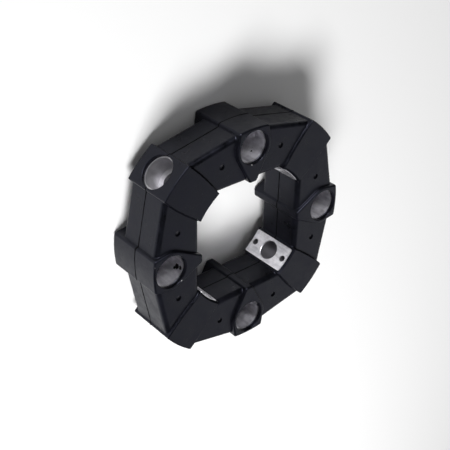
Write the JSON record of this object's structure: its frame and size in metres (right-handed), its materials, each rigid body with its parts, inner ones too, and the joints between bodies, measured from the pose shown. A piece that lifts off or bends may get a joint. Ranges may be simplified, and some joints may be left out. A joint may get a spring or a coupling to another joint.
{
  "type": "rubber coupling",
  "caption": "Flexible ring coupling: moulded rubber octagon with bonded aluminium inserts, bored in turn along the axis and towards the centre.",
  "frame": {"origin": "on the ring's axis, in the plane of the axial inserts' mounting faces", "axes": "+Z along the ring's axis from the mounting faces to the front; +X and +Y through two axial inserts"},
  "size_m": [0.1686, 0.1686, 0.048],
  "materials": {
    "rubber": "satin moulded rubber",
    "aluminium": "machined"
  },
  "bodies": {
    "root": {"rubber_body": "rubber", "axial_insert_1": "aluminium", "axial_insert_2": "aluminium", "axial_insert_3": "aluminium", "axial_insert_4": "aluminium", "radial_insert_1": "aluminium", "radial_insert_2": "aluminium", "radial_insert_3": "aluminium", "radial_insert_4": "aluminium"}
  },
  "joints": []
}
